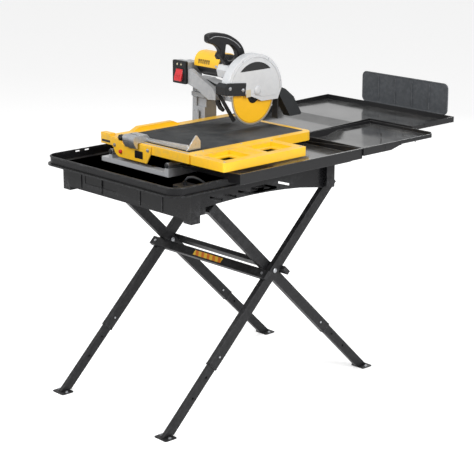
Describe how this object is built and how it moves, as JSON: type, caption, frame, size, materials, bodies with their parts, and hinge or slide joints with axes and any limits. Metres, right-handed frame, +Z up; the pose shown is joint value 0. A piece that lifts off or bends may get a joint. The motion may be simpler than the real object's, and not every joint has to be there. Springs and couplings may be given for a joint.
{
  "type": "wet tile saw on folding stand",
  "caption": "Wet tile saw with a rolling cutting table, tilting and plunging blade head, water pan and catch trays, on a folding crossed-leg stand with height-adjustable feet.",
  "frame": {"origin": "bottom centre of the whole object's box, on the floor", "axes": "+Z up, +Y from the operator to the rear, the way the cutting table rolls, +X to the operator's right"},
  "size_m": [0.95, 1.7758, 1.549],
  "materials": {
    "black_steel": "satin black powder coat",
    "zinc": "zinc plated",
    "black_plastic": "fine textured black",
    "grey_plastic": "fine textured dark grey",
    "rubber": "matt black rubber",
    "grey_casting": "light grey painted casting",
    "yellow_casting": "yellow painted casting",
    "yellow_plastic": "satin yellow",
    "red_plastic": "satin red",
    "bare_aluminium": "bare, lightly brushed",
    "blade_paint": "yellow paint with a bare steel edge"
  },
  "bodies": {
    "stand": {"outer_leg_left": "black_steel", "outer_leg_right": "black_steel", "outer_crossbar": "black_steel", "outer_top_rail": "black_steel", "pivot_bolt_left": "zinc", "pivot_bolt_right": "zinc"},
    "inner_frame": {"inner_leg_left": "black_steel", "inner_leg_right": "black_steel", "inner_crossbar": "black_steel", "inner_top_rail": "black_steel"},
    "outer_lower_left": {"outer_lower_leg_left": "black_steel", "outer_foot_left": "black_steel"},
    "outer_lower_right": {"outer_lower_leg_right": "black_steel", "outer_foot_right": "black_steel"},
    "inner_lower_left": {"inner_lower_leg_left": "black_steel", "inner_foot_left": "black_steel"},
    "inner_lower_right": {"inner_lower_leg_right": "black_steel", "inner_foot_right": "black_steel"},
    "outer_button_left": {"outer_snap_button_left": "zinc"},
    "outer_button_right": {"outer_snap_button_right": "zinc"},
    "inner_button_left": {"inner_snap_button_left": "zinc"},
    "inner_button_right": {"inner_snap_button_right": "zinc"},
    "saw": {"water_pan": "black_plastic", "base_frame": "bare_aluminium", "rail_left": "bare_aluminium", "rail_right": "bare_aluminium", "column": "grey_casting", "arm": "grey_casting", "switch_box": "black_plastic", "pump": "black_plastic", "water_hose": "rubber"},
    "plug": {"drain_plug": "rubber"},
    "paddle": {"switch_paddle": "red_plastic"},
    "side_catch": {"side_tray": "black_plastic"},
    "corner_catch": {"corner_tray": "black_plastic"},
    "rear_catch": {"rear_tray": "black_plastic"},
    "splash_panel": {"backsplash": "grey_plastic"},
    "cart": {"cart_frame": "yellow_casting", "cart_mat": "rubber", "front_plate": "yellow_casting"},
    "wheel_left_front": {"roller_left_front": "grey_plastic"},
    "wheel_left_rear": {"roller_left_rear": "grey_plastic"},
    "wheel_right_front": {"roller_right_front": "grey_plastic"},
    "wheel_right_rear": {"roller_right_rear": "grey_plastic"},
    "extension": {"side_extension": "yellow_casting"},
    "guide": {"fence": "bare_aluminium"},
    "guide_knob": {"fence_knob": "black_plastic"},
    "tilt": {"tilt_bracket": "grey_casting"},
    "head": {"gear_case": "grey_casting", "motor_body": "black_plastic", "motor_cover": "yellow_plastic", "handle": "black_plastic", "blade_guard": "grey_casting", "front_splash": "rubber", "rear_flap": "rubber", "rear_curtain": "rubber"},
    "lock_knob": {"plunge_knob": "black_plastic"},
    "spindle": {"blade": "blade_paint", "arbor": "zinc", "outer_flange": "zinc"}
  },
  "joints": [
    {"name": "saw_lift", "type": "slide", "parent": "stand", "child": "saw", "axis": [0, 0, 1], "range_m": [0, 0.6]},
    {"name": "stand_fold", "type": "hinge", "parent": "stand", "child": "inner_frame", "pos_m": [-0.042, -0.25705, 0.588], "axis": [-1, 0, 0], "range_deg": [0, 86]},
    {"name": "outer_left_height", "type": "slide", "parent": "stand", "child": "outer_lower_left", "axis": [0, 0.712, 0.7021], "range_m": [0, 0.206]},
    {"name": "outer_right_height", "type": "slide", "parent": "stand", "child": "outer_lower_right", "axis": [0, 0.712, 0.7021], "range_m": [0, 0.206]},
    {"name": "inner_left_height", "type": "slide", "parent": "inner_frame", "child": "inner_lower_left", "axis": [0, -0.712, 0.7021], "range_m": [0, 0.206]},
    {"name": "inner_right_height", "type": "slide", "parent": "inner_frame", "child": "inner_lower_right", "axis": [0, -0.712, 0.7021], "range_m": [0, 0.206]},
    {"name": "outer_left_button", "type": "slide", "parent": "stand", "child": "outer_button_left", "axis": [-1, 0, 0], "range_m": [0, 0.002], "stiffness_N_per_m": 800},
    {"name": "outer_right_button", "type": "slide", "parent": "stand", "child": "outer_button_right", "axis": [-1, 0, 0], "range_m": [0, 0.002], "stiffness_N_per_m": 800},
    {"name": "inner_left_button", "type": "slide", "parent": "inner_frame", "child": "inner_button_left", "axis": [-1, 0, 0], "range_m": [0, 0.002], "stiffness_N_per_m": 800},
    {"name": "inner_right_button", "type": "slide", "parent": "inner_frame", "child": "inner_button_right", "axis": [-1, 0, 0], "range_m": [0, 0.002], "stiffness_N_per_m": 800},
    {"name": "plug_pull", "type": "slide", "parent": "saw", "child": "plug", "axis": [0, 0, 1], "range_m": [0, 0.03]},
    {"name": "switch_press", "type": "hinge", "parent": "saw", "child": "paddle", "pos_m": [-0.388, -0.16305, 1.344], "axis": [-1, 0, 0], "range_deg": [0, 20]},
    {"name": "side_tray_off", "type": "slide", "parent": "saw", "child": "side_catch", "axis": [1, 0, 0], "range_m": [0, 0.35]},
    {"name": "corner_tray_off", "type": "slide", "parent": "saw", "child": "corner_catch", "axis": [1, 0, 0], "range_m": [0, 0.35]},
    {"name": "rear_tray_off", "type": "slide", "parent": "saw", "child": "rear_catch", "axis": [0, 1, 0], "range_m": [0, 0.3]},
    {"name": "backsplash_off", "type": "slide", "parent": "rear_catch", "child": "splash_panel", "axis": [0, 0, 1], "range_m": [0, 0.1]},
    {"name": "cart_roll", "type": "slide", "parent": "saw", "child": "cart", "axis": [0, 1, 0], "range_m": [-0.17, 0.33]},
    {"name": "roller_lf_spin", "type": "hinge", "parent": "cart", "child": "wheel_left_front", "pos_m": [-0.278, -0.45705, 1.0863], "axis": [1, 0, 0], "continuous": true},
    {"name": "roller_lr_spin", "type": "hinge", "parent": "cart", "child": "wheel_left_rear", "pos_m": [-0.278, -0.23705, 1.0863], "axis": [1, 0, 0], "continuous": true},
    {"name": "roller_rf_spin", "type": "hinge", "parent": "cart", "child": "wheel_right_front", "pos_m": [0.088, -0.45705, 1.0863], "axis": [1, 0, 0], "continuous": true},
    {"name": "roller_rr_spin", "type": "hinge", "parent": "cart", "child": "wheel_right_rear", "pos_m": [0.088, -0.23705, 1.0863], "axis": [1, 0, 0], "continuous": true},
    {"name": "extension_pull", "type": "slide", "parent": "cart", "child": "extension", "axis": [1, 0, 0], "range_m": [0, 0.09]},
    {"name": "fence_slide", "type": "slide", "parent": "cart", "child": "guide", "axis": [1, 0, 0], "range_m": [-0.11, 0.02]},
    {"name": "fence_clamp", "type": "hinge", "parent": "guide", "child": "guide_knob", "pos_m": [-0.163, -0.67805, 1.144], "axis": [1, 0, 0], "range_deg": [0, 180]},
    {"name": "bevel", "type": "hinge", "parent": "saw", "child": "tilt", "pos_m": [-0.012, 0.01045, 1.13], "axis": [0, 1, 0], "range_deg": [0, 45]},
    {"name": "plunge", "type": "hinge", "parent": "tilt", "child": "head", "pos_m": [-0.071, 0.04295, 1.342], "axis": [-1, 0, 0], "range_deg": [-6, 0]},
    {"name": "plunge_lock", "type": "hinge", "parent": "head", "child": "lock_knob", "pos_m": [-0.098, -0.19305, 1.442], "axis": [1, 0, 0], "range_deg": [0, 120]},
    {"name": "blade_spin", "type": "hinge", "parent": "head", "child": "spindle", "pos_m": [-0.012, -0.07505, 1.264], "axis": [1, 0, 0], "continuous": true}
  ],
  "couplings": [
    {"joint": "stand_fold", "follows": "saw_lift", "rad_per_m": 2.5},
    {"joint": "roller_lf_spin", "follows": "cart_roll", "rad_per_m": -83.333},
    {"joint": "roller_lr_spin", "follows": "cart_roll", "rad_per_m": -83.333},
    {"joint": "roller_rf_spin", "follows": "cart_roll", "rad_per_m": -83.333},
    {"joint": "roller_rr_spin", "follows": "cart_roll", "rad_per_m": -83.333}
  ]
}
